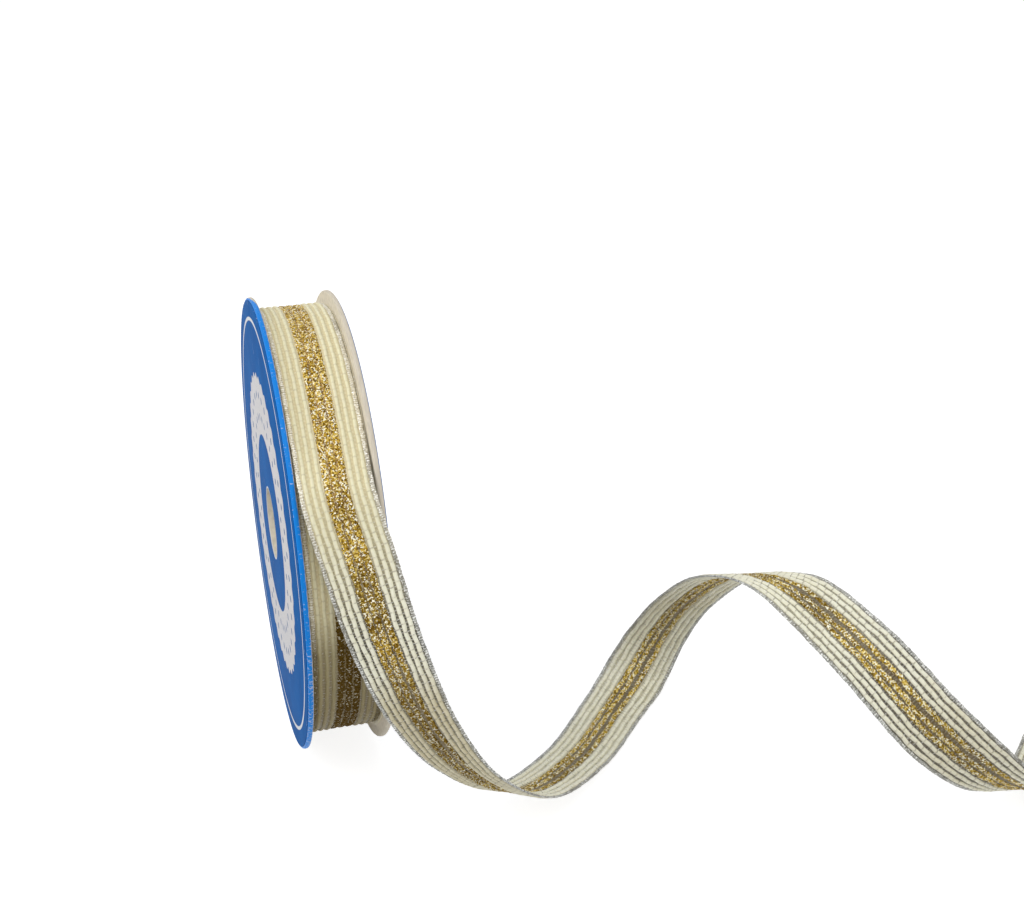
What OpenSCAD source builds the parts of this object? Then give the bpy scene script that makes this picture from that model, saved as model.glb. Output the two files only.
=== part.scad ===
// Spool of corded ribbon: two board flanges on a paper core, and a ribbon whose free end curls across
// the table. X runs along the bore, Z is up, and the free end leaves the roll on the -Y side.

/* [Spool] */
// Diameter of the board flanges
flange_d = 108; // [96:1:120]
// Thickness of a flange
flange_t = 1.2; // [0.8:0.1:2]
// Diameter of the bore through the spool
bore_d = 17; // [12:0.5:26]
// Wall of the core tube
core_wall = 2; // [1:0.1:4]
// Thickness of the paper labels
label_t = 0.15; // [0.1:0.05:0.4]
// Margin of bare board round a label
label_margin = 0.2; // [0.1:0.1:3]

/* [Ribbon] */
// Width of a silver selvedge
edge_w = 0.65; // [0.5:0.05:2]
// Thickness of a silver selvedge
edge_t = 0.5; // [0.4:0.1:1.2]
// Width of a cream cord
cord_w = 1; // [0.8:0.05:1.4]
// Thickness of a cream cord
cord_t = 1; // [0.8:0.05:1.4]
// Width of a gold strand
gold_w = 1.3; // [0.8:0.05:1.6]
// Thickness of a gold strand
gold_t = 0.8; // [0.5:0.1:1.2]
// Gap between neighbouring yarns
yarn_gap = 0.48; // [0.2:0.01:0.6]
// Thickness of the sheer weft ground
weft_t = 0.3; // [0.2:0.05:0.4]

/* [Winding] */
// Height of the flange rim above the outer turn
rim_step = 2.4; // [2:0.1:6]
// Play between the ribbon and a flange
side_gap = 0.44; // [0.3:0.02:1]
// Radial room between a turn and what lies under it
turn_gap = 0.5; // [0.45:0.05:1]
// Angle above the horizontal at which the free end leaves the roll
take_off = 58; // [50:1:64]
// Width of the tape that holds the inner end
tape_w = 12; // [6:1:16]
// Thickness of that tape
tape_t = 0.1; // [0.05:0.05:0.2]
// Arc of the core that the tape covers, in degrees
tape_arc = 70; // [40:5:120]

/* [Hidden] */
$fn = 96;
cord_count = 3;
gold_count = 3;
loop_rings = 24;
overlap_rings = 2;
steps_per_leg = 2;
tape_room = 0.1;
cut_past = 1;
route_roll_d = 108;
cream = [0.94, 0.92, 0.80];
gold = [0.74, 0.56, 0.24];
silver = [0.78, 0.78, 0.75];
sheer = [0.80, 0.76, 0.62];
blue = [0.10, 0.42, 0.75];
board = [0.74, 0.71, 0.66];

// Widths of the yarns from the front edge to the rear edge, and the middle of each
cords = [for (i = [1:cord_count]) cord_w];
lane_w = concat([edge_w], cords, [for (i = [1:gold_count]) gold_w], cords, [edge_w]);
lane_n = len(lane_w);
ribbon_w = sum_to(lane_w, lane_n) + (lane_n - 1) * yarn_gap;
lane_mid = [for (i = [0:lane_n - 1]) sum_to(lane_w, i) + i * yarn_gap + (lane_w[i] - ribbon_w) / 2];
first_gold = 1 + cord_count;
last_edge = lane_n - 1;
yarn_t = max(cord_t, gold_t, edge_t);

// Places along the spool's axis and radii about it
bore_r = bore_d / 2;
core_r = bore_r + core_wall;
flange_r = flange_d / 2;
inner_x = ribbon_w / 2 + side_gap;
outer_x = inner_x + flange_t;
turn_r = flange_r - rim_step - yarn_t / 2;
turn_rise = yarn_t + turn_gap;
wrap_rings = loop_rings + overlap_rings;
wrap_start_r = turn_r - turn_rise * wrap_rings / loop_rings;
wound_r = (wrap_start_r - yarn_t / 2) * cos(180 / loop_rings) - turn_gap;
wound_seat = core_r + tape_t + tape_room;

// Route of the free end's middle line: along the axis, across it, height above the table, and the swing of
// the ribbon's cross direction toward the viewer in degrees; the curls grow and shrink with the roll
tail_route = [
    [0, -38, 90, 0],
    [0.2, -47, 83, 2],
    [3, -54, 70, 9],
    [6.5, -60, 55, 20],
    [13, -64, 37, 30],
    [23, -64, 21, 33],
    [37, -58, 8.5, 26],
    [54.5, -42, 2.5, 18],
    [69, -25, 1.5, 14],
    [78.5, -16, 5, 13],
    [84.5, -15.5, 16, 13],
    [87.5, -25, 31, 12.5],
    [91.5, -41, 47, 11.5],
    [98, -59, 54, 11],
    [108, -77, 47, 11.5],
    [121, -89.5, 32, 13],
    [137, -91.5, 17, 14],
    [152.5, -84, 6, 14.5],
    [166, -71, 3, 14],
    [176.5, -63, 9.5, 14],
    [185.5, -68, 19, 14],
    [196, -80, 19, 16],
    [208, -87, 10, 18],
    [222, -84, 2.6, 19],
    [238, -74, 1.5, 20]
];

function sum_to(v, n) = n <= 0 ? 0 : v[n - 1] + sum_to(v, n - 1);
function unit(v) = v / norm(v);
function place(p) = [p[0], p[1], p[2]];

// The outer turn spirals out to the point where the free end leaves it
function wrap_point(i) =
    let (back = (wrap_rings - i) / loop_rings)
    let (a = take_off + 360 * back)
    let (r = turn_r - turn_rise * back)
    [0, -r * cos(a), r * sin(a), 0];

// A smooth curve through four neighbouring points of the route
function leg_point(a, b, c, d, t) =
    0.5 * (2 * b + (c - a) * t + (2 * a - 5 * b + 4 * c - d) * t * t + (3 * b - a - 3 * c + d) * t * t * t);

wrap_points = [for (i = [0:wrap_rings]) wrap_point(i)];
curl = flange_d / route_roll_d;
tail_stops = [for (p = tail_route) [p[0] * curl, p[1] * curl, p[2] * curl - flange_r, p[3]]];
legs = len(tail_stops);
leg_ends = concat(
    [wrap_point(wrap_rings - 1), wrap_point(wrap_rings)],
    tail_stops,
    [2 * tail_stops[legs - 1] - tail_stops[legs - 2]]
);
tail_points = [
    for (i = [1:legs], k = [1:steps_per_leg])
        leg_point(leg_ends[i - 1], leg_ends[i], leg_ends[i + 1], leg_ends[i + 2], k / steps_per_leg)
];
path = concat(wrap_points, tail_points);
path_end = len(path) - 1;

// Directions along, across and out of the ribbon at each ring of the path
along = [
    for (i = [0:path_end])
        unit(place(path[min(i + 1, path_end)]) - place(path[max(i - 1, 0)]))
];
across = [
    for (i = [0:path_end])
        let (rule = [cos(path[i][3]), -sin(path[i][3]), 0])
        unit(rule - (rule * along[i]) * along[i])
];
outward = [for (i = [0:path_end]) cross(along[i], across[i])];

// Outlines of the yarns, across and through the ribbon
function flat_section(mid, w, t) =
    [for (s = [[1, 1], [-1, 1], [-1, -1], [1, -1]]) [mid + s[0] * w / 2, s[1] * t / 2]];
function cord_section(mid, w, t) =
    [for (a = [0:60:300]) [mid + cos(a) * w / 2, sin(a) * t / (2 * sin(60))]];

// Solid swept along part of the path, with the same section at every ring; the faces above and below it are
// split along the same diagonal, so that a twisted stretch keeps its thickness
module yarn(section, from = 0, to = path_end) {
    n = len(section);
    rings = to - from;
    points = [
        for (i = [from:to], s = section)
            place(path[i]) + s[0] * across[i] + s[1] * outward[i]
    ];
    sides = [
        for (i = [0:rings - 1], j = [0:n - 1], half = [0, 1])
            let (a = i * n + j, b = i * n + (j + 1) % n)
            j < n / 2
                ? (half == 0 ? [a, b, b + n] : [a, b + n, a + n])
                : (half == 0 ? [a, b, a + n] : [b, b + n, a + n])
    ];
    first_cap = [for (j = [1:n - 2]) [0, j + 1, j]];
    end = rings * n;
    last_cap = [for (j = [1:n - 2]) [end, end + j, end + j + 1]];
    polyhedron(points, concat(sides, first_cap, last_cap));
}

// Ring about the spool's axis
module ring(outer_r, inner_r, from_x, to_x) {
    translate([from_x, 0, 0])
        rotate([0, 90, 0])
            difference() {
                cylinder(r = outer_r, h = to_x - from_x);
                translate([0, 0, -cut_past])
                    cylinder(r = inner_r, h = to_x - from_x + 2 * cut_past);
            }
}

module flange(side) {
    color(board)
        mirror([side < 0 ? 1 : 0, 0, 0])
            ring(flange_r, bore_r, inner_x, outer_x);
}

module label(side) {
    color(blue)
        mirror([side < 0 ? 1 : 0, 0, 0])
            ring(flange_r - label_margin, bore_r, outer_x, outer_x + label_t);
}

module core_tube() {
    color(board)
        ring(core_r, bore_r, -inner_x, inner_x);
}

module anchor_tape() {
    color(sheer)
        rotate([0, 90, 0])
            rotate_extrude(angle = tape_arc)
                translate([core_r, -tape_w / 2])
                    square([tape_t, tape_w]);
}

// Layers that lie under the outer turn
module wound_ribbon() {
    color(cream)
        ring(wound_r, wound_seat, -ribbon_w / 2, ribbon_w / 2);
}

module weft_turn() {
    color(sheer)
        yarn(flat_section(0, ribbon_w - edge_w, weft_t), 0, wrap_rings);
}

module weft_tail() {
    color(sheer)
        yarn(flat_section(0, ribbon_w - edge_w, weft_t), wrap_rings, path_end);
}

module silver_edge(lane) {
    color(silver)
        yarn(flat_section(lane_mid[lane], edge_w, edge_t));
}

module cream_cord(lane) {
    color(cream)
        yarn(cord_section(lane_mid[lane], cord_w, cord_t));
}

module gold_strand(lane) {
    color(gold)
        yarn(flat_section(lane_mid[lane], gold_w, gold_t));
}

// Least room between the outer turn's overlapping ends, and the table's clearance under the free end
turn_room = min([
    for (i = [0:overlap_rings])
        norm(place(path[i + loop_rings]) - place(path[i])) * cos(180 / loop_rings) - yarn_t
]);
table_room = min([
    for (i = [wrap_rings:path_end], s = [-1, 1])
        path[i][2] + s * across[i][2] * ribbon_w / 2 - yarn_t / 2 + flange_r
]);
echo(least_gap_between_turns = turn_room, least_height_above_table = table_room, ribbon_width = ribbon_w);

flange(-1);  // front_flange
label(-1);  // front_label
flange(1);  // rear_flange
label(1);  // rear_label
core_tube();
anchor_tape();
wound_ribbon();
weft_turn();
weft_tail();
silver_edge(0);  // silver_edge_front
silver_edge(last_edge);  // silver_edge_rear
for (i = [1:cord_count]) {
    far = cord_count + i;
    cream_cord(i);
    cream_cord(gold_count + far);
}
for (i = [1:gold_count]) {
    gold_strand(first_gold + i - 1);
}
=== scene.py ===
"""Dresses the ribbon spool: board flanges, printed labels, paper core and a corded metallic ribbon."""
import logging
import math
from dataclasses import dataclass, field
from enum import Enum
from typing import Any, Callable, Dict, List, Optional, Sequence, Tuple, Union

import bmesh
import bpy
import numpy as np
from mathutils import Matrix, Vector


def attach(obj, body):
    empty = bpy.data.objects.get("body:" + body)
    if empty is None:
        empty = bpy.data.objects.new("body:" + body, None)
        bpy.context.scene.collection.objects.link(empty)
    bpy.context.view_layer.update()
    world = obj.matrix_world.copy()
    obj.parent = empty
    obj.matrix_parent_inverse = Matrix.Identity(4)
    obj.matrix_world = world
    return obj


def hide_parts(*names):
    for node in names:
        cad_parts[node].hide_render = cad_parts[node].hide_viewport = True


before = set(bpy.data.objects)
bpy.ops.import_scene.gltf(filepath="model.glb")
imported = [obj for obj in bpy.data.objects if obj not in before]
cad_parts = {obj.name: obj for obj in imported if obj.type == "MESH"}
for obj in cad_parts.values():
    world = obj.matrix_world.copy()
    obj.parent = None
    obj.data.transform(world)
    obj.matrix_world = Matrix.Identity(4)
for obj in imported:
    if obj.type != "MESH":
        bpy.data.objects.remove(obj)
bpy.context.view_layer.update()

LOG = logging.getLogger("ribbon_spool")
MM = 0.001
TO_MM = 1000.0
FULL_TURN = 2 * math.pi
LAY_SPAN = 100.0
MERGE_DISTANCE = 1e-6
WHITE = (1.0, 1.0, 1.0, 1.0)

Array = np.ndarray
Material = bpy.types.Material
Object = bpy.types.Object
Colour = Tuple[float, float, float, float]
Place = Tuple[float, float, float]
Pair = Tuple[float, float]
Stops = Tuple[Pair, ...]
ColourStops = Tuple[Tuple[float, Colour], ...]
Feed = Union["Sock", float, Sequence[float]]
Rings = Union[Array, float]


def ink(red: int, green: int, blue: int) -> Colour:
    """The linear colour, with full alpha, of a display colour in steps of 255."""
    shares = [step / 255.0 for step in (red, green, blue)]
    linear = [v / 12.92 if v <= 0.04045 else ((v + 0.055) / 1.055) ** 2.4 for v in shares]
    return (*linear, 1.0)


class Side(Enum):
    """The two ends of the spool, as the sign of their place along the bore."""
    FRONT = -1
    REAR = 1

    @property
    def word(self) -> str:
        """The side's name in a piece's name."""
        return self.name.lower()


class Body(Enum):
    """The bodies that pieces ride on."""
    RIBBON = "ribbon"
    SPOOL = "spool"


def joined(operation: str) -> Callable[["Sock", Feed], "Sock"]:
    """A method that puts a value and a term through a Math node."""
    return lambda value, term: value.calc(operation, term)


class Sock:
    """A node's output; arithmetic on it adds Math nodes to its tree."""

    def __init__(self, tree: "Tree", out: bpy.types.NodeSocket) -> None:
        """Wraps an output socket of a tree."""
        self.tree = tree
        self.out = out

    def other(self, name: str) -> "Sock":
        """Another output of the same node."""
        return Sock(self.tree, self.out.node.outputs[name])

    def calc(self, operation: str, *terms: Feed) -> "Sock":
        """The value of a Math node on this value and these terms."""
        return self.tree.node("ShaderNodeMath", {"operation": operation}, dict(enumerate((self, *terms))))

    __add__ = __radd__ = joined("ADD")
    __sub__ = joined("SUBTRACT")
    __mul__ = __rmul__ = joined("MULTIPLY")
    __truediv__ = joined("DIVIDE")

    def __rsub__(self, term: Feed) -> "Sock":
        """A term less this value."""
        return self * -1.0 + term

    def size(self) -> "Sock":
        """This value without its sign."""
        return self.calc("ABSOLUTE")

    def wave(self, kind: str = "COSINE") -> "Sock":
        """A wave of this angle, from 0 to 1."""
        return self.calc(kind) * 0.5 + 0.5

    def step(self, low: float, high: float) -> "Sock":
        """0 below low, 1 above high, and a soft step between them; reversed where low is the larger."""
        feeds = {"Value": self, "From Min": low, "From Max": high}
        return self.tree.node("ShaderNodeMapRange", {"interpolation_type": "SMOOTHSTEP"}, feeds)


class Tree:
    """A node tree under construction."""

    def __init__(self, tree: bpy.types.NodeTree) -> None:
        """Starts from an empty tree."""
        self.tree = tree
        self.tree.nodes.clear()

    def node(self, kind: str, settings: Optional[Dict[str, Any]] = None,
             feeds: Optional[Dict[Any, Feed]] = None, out: Any = 0) -> Sock:
        """Adds a node.

        Args:
            kind: The node's type.
            settings: Its own settings, set before its sockets; "stops" holds a ramp's stops.
            feeds: Values or links for its inputs, by name or place.
            out: Name or place of the output that is wanted.

        Returns:
            That output.
        """
        made = self.tree.nodes.new(kind)
        for name, value in (settings or {}).items():
            if name != "stops":
                setattr(made, name, value)
                continue
            stops = made.color_ramp.elements
            while len(stops) < len(value):
                stops.new(0.5)
            for stop, (at, colour) in zip(stops, value):
                stop.position = at
                stop.color = colour
        for name, value in (feeds or {}).items():
            if isinstance(value, Sock):
                self.tree.links.new(value.out, made.inputs[name])
            else:
                made.inputs[name].default_value = value
        return Sock(self, made.outputs[out] if made.outputs else None)

    def seen(self) -> Sock:
        """1 where a surface is seen straight, in a shiny face or through a clear one, else 0."""
        straight = self.node("ShaderNodeLightPath", out="Is Camera Ray")
        shiny = straight.calc("MAXIMUM", straight.other("Is Glossy Ray"))
        return shiny.calc("MAXIMUM", straight.other("Is Transmission Ray"))


@dataclass(frozen=True)
class Grain:
    """Cloudy noise: the size of its lumps in millimetres, its octaves, and its stretch along X, Y and Z."""
    size: float
    octaves: float = 2.0
    stretch: Place = (1.0, 1.0, 1.0)


class Paint(Tree):
    """A material under construction."""

    def __init__(self, name: str) -> None:
        """Starts an empty material."""
        self.material = bpy.data.materials.new(name)
        self.material.use_nodes = True
        super().__init__(self.material.node_tree)

    def place(self) -> Sock:
        """Object coordinates."""
        return self.node("ShaderNodeTexCoord", out="Object")

    def axes(self) -> Tuple[Sock, Sock, Sock]:
        """Object coordinates along X, Y and Z, in millimetres."""
        x = self.node("ShaderNodeSeparateXYZ", feeds={0: self.place()}, out="X")
        return x * TO_MM, x.other("Y") * TO_MM, x.other("Z") * TO_MM

    @staticmethod
    def radius(y: Sock, z: Sock) -> Sock:
        """Distance from the bore's axis."""
        return (y * y + z * z).calc("SQRT")

    def lay(self) -> Tuple[Sock, Sock]:
        """Millimetres along a yarn or strip, and the share of the way round or across it."""
        uv = self.node("ShaderNodeUVMap", {"uv_map": "lay"})
        u = self.node("ShaderNodeSeparateXYZ", feeds={0: uv}, out="X")
        return u * LAY_SPAN, u.other("Y")

    def mark(self, name: str) -> Sock:
        """A named value kept on the mesh."""
        return self.node("ShaderNodeAttribute", {"attribute_name": name}, out="Fac")

    def noise(self, grain: Grain) -> Sock:
        """Cloudy noise on Object coordinates, a value about 0.5."""
        scale = tuple(1.0 / s for s in grain.stretch)
        at = self.node("ShaderNodeMapping", feeds={"Vector": self.place(), "Scale": scale})
        feeds = {"Vector": at, "Scale": TO_MM / grain.size, "Detail": grain.octaves}
        return self.node("ShaderNodeTexNoise", feeds=feeds)

    def cells(self, size: float) -> Sock:
        """A random value from 0 to 1 for each glint-sized cell of space."""
        feeds = {"Vector": self.place(), "Scale": TO_MM / size}
        cell = self.node("ShaderNodeTexVoronoi", feeds=feeds, out="Color")
        return self.node("ShaderNodeSeparateColor", feeds={0: cell}, out="Red")

    def mix(self, share: Feed, first: Feed, second: Feed) -> Sock:
        """Blends two colours, the second by its share."""
        return self.node("ShaderNodeMix", {"data_type": "RGBA"}, {0: share, 6: first, 7: second}, out=2)

    def ramp(self, value: Feed, stops: ColourStops) -> Sock:
        """A colour looked up along stops."""
        return self.node("ShaderNodeValToRGB", {"stops": stops}, {0: value})

    def bump(self, height: Sock, depth: float) -> Sock:
        """A normal that follows a height of so many millimetres."""
        return self.node("ShaderNodeBump", feeds={"Height": height, "Distance": depth * MM})

    def finish(self, **feeds: Feed) -> Material:
        """Ends the material in one shader; the feeds name its sockets, with _ for a space."""
        named = {name.replace("_", " "): value for name, value in feeds.items()}
        shader = self.node("ShaderNodeBsdfPrincipled", feeds=named)
        self.node("ShaderNodeOutputMaterial", feeds={"Surface": shader})
        return self.material


@dataclass(frozen=True)
class BoardFinish:
    """Grey-beige pressed board, with print drawn over the rim from its outer face.

    The print leaves a bare share of the rim's thickness, and a worn share more at its crest.
    """
    side: Side
    rim_r: float
    inner_x: float
    thick: float
    bare: float
    worn: float
    face: Colour = ink(238, 230, 212)
    fibre: Colour = ink(192, 183, 166)
    cut: Colour = ink(226, 217, 200)
    chip: Colour = ink(236, 236, 234)
    print_blue: Colour = ink(0, 132, 226)
    crest_y: float = 0.454
    crest_z: float = 0.891
    mottle: Grain = Grain(1.4, 5.0)
    fleck: Grain = Grain(0.5, 2.0, (1.0, 1.0, 4.0))
    strata: Grain = Grain(0.35, 3.0, (0.35, 8.0, 8.0))
    wear: Grain = Grain(0.9, 4.0)
    scrape: Grain = Grain(0.4, 4.0, (2.5, 1.0, 1.0))

    def material(self) -> Material:
        """Builds the board's material."""
        paint = Paint(f"pressed_board_{self.side.word}")
        x, y, z = paint.axes()
        radius = paint.radius(y, z)
        mottle = paint.noise(self.mottle)
        fleck = paint.noise(self.fleck).step(0.62, 0.72)
        flat = paint.mix(mottle.step(0.35, 0.7) * 0.4, self.face, self.fibre)
        flat = paint.mix(fleck * 0.3, flat, self.fibre)
        edge = paint.mix(paint.noise(self.strata).step(0.35, 0.65) * 0.5, self.cut, self.fibre)
        base = paint.mix(radius.step(self.rim_r - 0.35, self.rim_r - 0.1), flat, edge)
        depth = (x * self.side.value - self.inner_x) / self.thick
        crest = (y * self.crest_y + z * self.crest_z) / self.rim_r
        worn = crest.step(0.92, 0.99) * self.worn + (paint.noise(self.wear) - 0.5) * 0.3
        inked = (depth - worn).step(self.bare - 0.08, self.bare + 0.08)
        shown = inked * radius.step(self.rim_r - 0.8, self.rim_r - 0.7)
        scrape = paint.noise(self.scrape) + 0.09 * (z / self.rim_r).step(0.15, -0.2)
        chipped = scrape.step(0.6, 0.74) * 0.5
        base = paint.mix(shown, base, paint.mix(chipped, self.print_blue, self.chip))
        relief = mottle * 0.6 + fleck * 0.4 + chipped * inked * 0.6
        return paint.finish(Base_Color=base, Roughness=0.86 - 0.3 * shown, Normal=paint.bump(relief, 0.06),
                            Specular_IOR_Level=0.25)


@dataclass(frozen=True)
class LabelFinish:
    """Printed paper: a blue field, a thin pale ring, and a broad scalloped pale band with rows of blue dots.

    Each row of dots has its share of the radius, and a sign that sets it between the dots of the other row.
    """
    side: Side
    outer_r: float
    bore_r: float
    dots_round: int = 36
    dot_rows: Stops = ((0.48, 1.0), (0.58, -1.0))
    scallops: int = 40
    field_blue: Colour = ink(8, 102, 178)
    deep_blue: Colour = ink(4, 78, 146)
    pale: Colour = ink(222, 220, 220)
    ring: Colour = ink(228, 230, 232)
    cloud: Grain = Grain(14.0)
    speckle: Grain = Grain(0.5, 4.0)
    scuff: Grain = Grain(0.8, 5.0, (1.0, 1.0, 3.0))
    grain: Grain = Grain(0.45, 4.0)

    def material(self) -> Material:
        """Builds the label's material."""
        paint = Paint(f"printed_label_{self.side.word}")
        _, y, z = paint.axes()
        radius = paint.radius(y, z) / self.outer_r
        turn = z.calc("ARCTAN2", y)
        lobes = (turn * self.scallops).calc("COSINE")
        band = radius.step(0.398, 0.402) * (radius - lobes * 0.01).step(0.672, 0.668)
        blue = paint.mix(0.3 + 0.4 * paint.noise(self.cloud).step(0.3, 0.7), self.field_blue, self.deep_blue)
        pale = paint.mix(paint.noise(self.speckle).step(0.5, 0.8) * 0.25, self.pale, self.deep_blue)
        base = paint.mix(band, blue, pale)
        spots = (turn * self.dots_round).calc("COSINE")
        for row, sign in self.dot_rows:
            dot = (spots * sign - (radius - row).size() * 30.0).step(0.42, 0.52)
            base = paint.mix(dot * 0.85, base, self.deep_blue)
        thin_ring = radius.step(0.908, 0.912) * radius.step(0.928, 0.924)
        base = paint.mix(thin_ring, base, self.ring)
        scuff = paint.noise(self.scuff).step(0.66, 0.72)
        near_rim = radius.step(0.95, 1.0)
        base = paint.mix(scuff * (0.12 + 0.6 * near_rim), base, self.ring)
        cut = radius.step((self.bore_r + 0.45) / self.outer_r, (self.bore_r + 0.2) / self.outer_r)
        base = paint.mix(cut, base, self.ring)
        grain = paint.noise(self.grain)
        rough = 0.62 + 0.2 * grain + 0.15 * (scuff * near_rim)
        return paint.finish(Base_Color=base, Roughness=rough, Normal=paint.bump(grain + scuff * 0.5, 0.02),
                            Specular_IOR_Level=0.08)


@dataclass(frozen=True)
class TubeFinish:
    """Spirally wound paper tube."""
    pitch: float = 14.0
    paper: Colour = ink(176, 164, 138)
    seam: Colour = ink(120, 110, 88)
    fibre: Grain = Grain(0.8, 5.0, (1.0, 3.0, 3.0))

    def material(self) -> Material:
        """Builds the tube's material."""
        paint = Paint("wound_paper_tube")
        x, y, z = paint.axes()
        ply = (z.calc("ARCTAN2", y) / FULL_TURN + x / self.pitch).calc("FRACT")
        gap = (ply - 0.5).size().step(0.02, 0.008)
        fibre = paint.noise(self.fibre)
        base = paint.mix(fibre.step(0.3, 0.75) * 0.5, self.paper, self.seam)
        base = paint.mix(gap * 0.8, base, self.seam)
        return paint.finish(Base_Color=base, Roughness=0.82, Normal=paint.bump(fibre * 0.4 - gap, 0.08))


@dataclass(frozen=True)
class TapeFinish:
    """Clear adhesive tape gone faintly yellow."""
    film: Colour = ink(214, 196, 150)
    light: Colour = ink(236, 224, 190)
    ripple: Grain = Grain(3.0, 3.0, (4.0, 1.0, 1.0))

    def material(self) -> Material:
        """Builds the tape's material."""
        paint = Paint("adhesive_tape")
        ripple = paint.noise(self.ripple)
        base = paint.mix(ripple * 0.5, self.film, self.light)
        return paint.finish(Base_Color=base, Roughness=0.2 + 0.2 * ripple, Alpha=0.75,
                            Normal=paint.bump(ripple, 0.03))


@dataclass(frozen=True)
class CordFinish:
    """Cream satin cord, bound across by the weft. Painted shade darkens its flanks toward tan on the roll,
    leaving the crown cream, and fills the grooves where the weft binds it; more painted shade lies on it
    under the free end and along the free end's shaded stretches.
    """
    cream: Colour = ink(250, 248, 228)
    warm: Colour = ink(242, 236, 206)
    resting: Colour = ink(242, 236, 200)
    # tan of the fibres, and the painted shade on the cord's flanks on the roll
    tan: Colour = ink(221, 210, 168)
    # painted shade in the binding grooves
    bind_shade: Colour = ink(168, 156, 116)
    # painted shade under the free end
    painted_shade: Colour = ink(130, 115, 66)
    # painted shade for the shaded stretches of the free end
    dusk: Colour = ink(174, 148, 72)
    twist_along: float = 2.4
    twist_round: float = 18.85
    fibre: Grain = Grain(0.22, 3.0)
    tone: Grain = Grain(5.0)

    def material(self) -> Material:
        """Builds the cord's material."""
        paint = Paint("cream_satin_cord")
        u, v = paint.lay()
        free = paint.mark("free")
        twist = (u * self.twist_along + v * self.twist_round).calc("SINE")
        fibre = paint.noise(self.fibre)
        # painted shade: on the roll the flanks darken toward tan, leaving only the crown cream
        flank_shade = (v - 0.25).size().step(0.07, 0.21) * (1.0 - free)
        base = paint.mix(free, self.resting, self.cream)
        base = paint.mix(paint.noise(self.tone).step(0.35, 0.7) * 0.35, base, self.warm)
        base = paint.mix(flank_shade * 0.85, base, self.tan)
        # painted shade in the groove where a weft thread binds the cord
        base = paint.mix(paint.mark("bind") * (0.32 + 0.1 * free), base, self.bind_shade)
        base = paint.mix(fibre.step(0.55, 0.75) * 0.12, base, self.tan)
        # painted shade on the roll under the free end
        base = paint.mix(paint.mark("dim") * 0.8, base, self.painted_shade)
        # painted shade along the shaded stretches of the free end
        base = paint.mix(paint.mark("dusk"), base, self.dusk)
        height = twist * 0.25 + fibre * 0.5
        return paint.finish(Base_Color=base, Roughness=0.5 + 0.25 * fibre, Normal=paint.bump(height, 0.04),
                            Sheen_Weight=0.15, Specular_IOR_Level=0.4)


@dataclass(frozen=True)
class GlitterFinish:
    """Crumpled metal film: its facets take colours from dark to bright, painted glints and painted dark
    reflections, in one tone free and one on the roll.

    One mark, named by a field, says how much painted shade darkens the film under the free end. A stripe
    above 0 adds the net's rungs.
    """
    name: str
    free: ColourStops
    resting: ColourStops
    shade: Colour
    # painted shade under the free end
    painted_shade: Colour
    metal: float
    gloss: float
    # names the mark for painted shade under the free end
    shade_mark: str
    stripe: float = 0.0
    stripe_pitch: float = 0.55
    facet: float = 0.28
    crease: Grain = Grain(0.3, 3.0)
    tone: Grain = Grain(18.0, 1.0)

    def material(self) -> Material:
        """Builds the film's material."""
        paint = Paint(self.name)
        glint = paint.cells(self.facet)
        crease = paint.noise(self.crease)
        value = glint * 0.8 + crease * 0.2
        if self.stripe:
            along, _ = paint.lay()
            wave = (along * (FULL_TURN / self.stripe_pitch)).wave("SINE")
            value = value * (1.0 - self.stripe) + wave * self.stripe
        # the ramps paint glints and dark reflections into the facets' colour
        base = paint.mix(paint.mark("free"), paint.ramp(value, self.resting), paint.ramp(value, self.free))
        # painted shade along the shaded stretches of the free end, joined to random darker patches
        dusk = paint.mark("dusk")
        tone = paint.noise(self.tone).step(0.48, 0.68).calc("MAXIMUM", dusk)
        base = paint.mix(tone * glint.step(0.85, 0.6) * 0.6, base, self.shade)
        # more painted shade on those stretches
        base = paint.mix(dusk * 0.4, base, self.shade)
        # painted shade under the free end, weaker on the bright facets
        shade_mark = paint.mark(self.shade_mark)
        base = paint.mix(shade_mark * (0.5 + 0.44 * glint.step(0.95, 0.88)), base, self.painted_shade)
        rough = 0.3 + 0.3 * crease + 0.35 * shade_mark
        return paint.finish(Base_Color=base, Metallic=self.metal, Roughness=rough,
                            Normal=paint.bump(glint + crease * 0.6, 0.08), Specular_IOR_Level=self.gloss)


# The near-white top of each ramp is a painted glint; the colour given after the shade is painted shade under
# the free end.
GOLD_FILM = GlitterFinish(
    "gold_metal_film",
    free=((0.14, ink(86, 64, 14)), (0.30, ink(164, 132, 42)), (0.50, ink(212, 179, 78)),
          (0.66, ink(246, 224, 138)), (0.78, ink(255, 253, 232))),
    resting=((0.14, ink(86, 62, 12)), (0.32, ink(158, 123, 36)), (0.52, ink(204, 167, 66)),
             (0.70, ink(240, 214, 118)), (0.81, ink(255, 252, 232))),
    shade=ink(96, 72, 22), painted_shade=ink(82, 60, 10), metal=0.2, gloss=0.04, shade_mark="under")
SILVER_FILM = GlitterFinish(
    "silver_metal_film",
    free=((0.15, ink(96, 96, 92)), (0.35, ink(150, 150, 145)), (0.55, ink(190, 190, 184)),
          (0.72, ink(226, 226, 220)), (0.86, ink(255, 255, 252))),
    resting=((0.12, ink(172, 163, 138)), (0.32, ink(206, 198, 174)), (0.55, ink(224, 218, 199)),
             (0.75, ink(241, 238, 228)), (0.86, ink(255, 255, 252))),
    shade=ink(128, 124, 112), painted_shade=ink(112, 102, 74), metal=0.3, gloss=0.25, shade_mark="dim", stripe=0.3)


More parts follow.
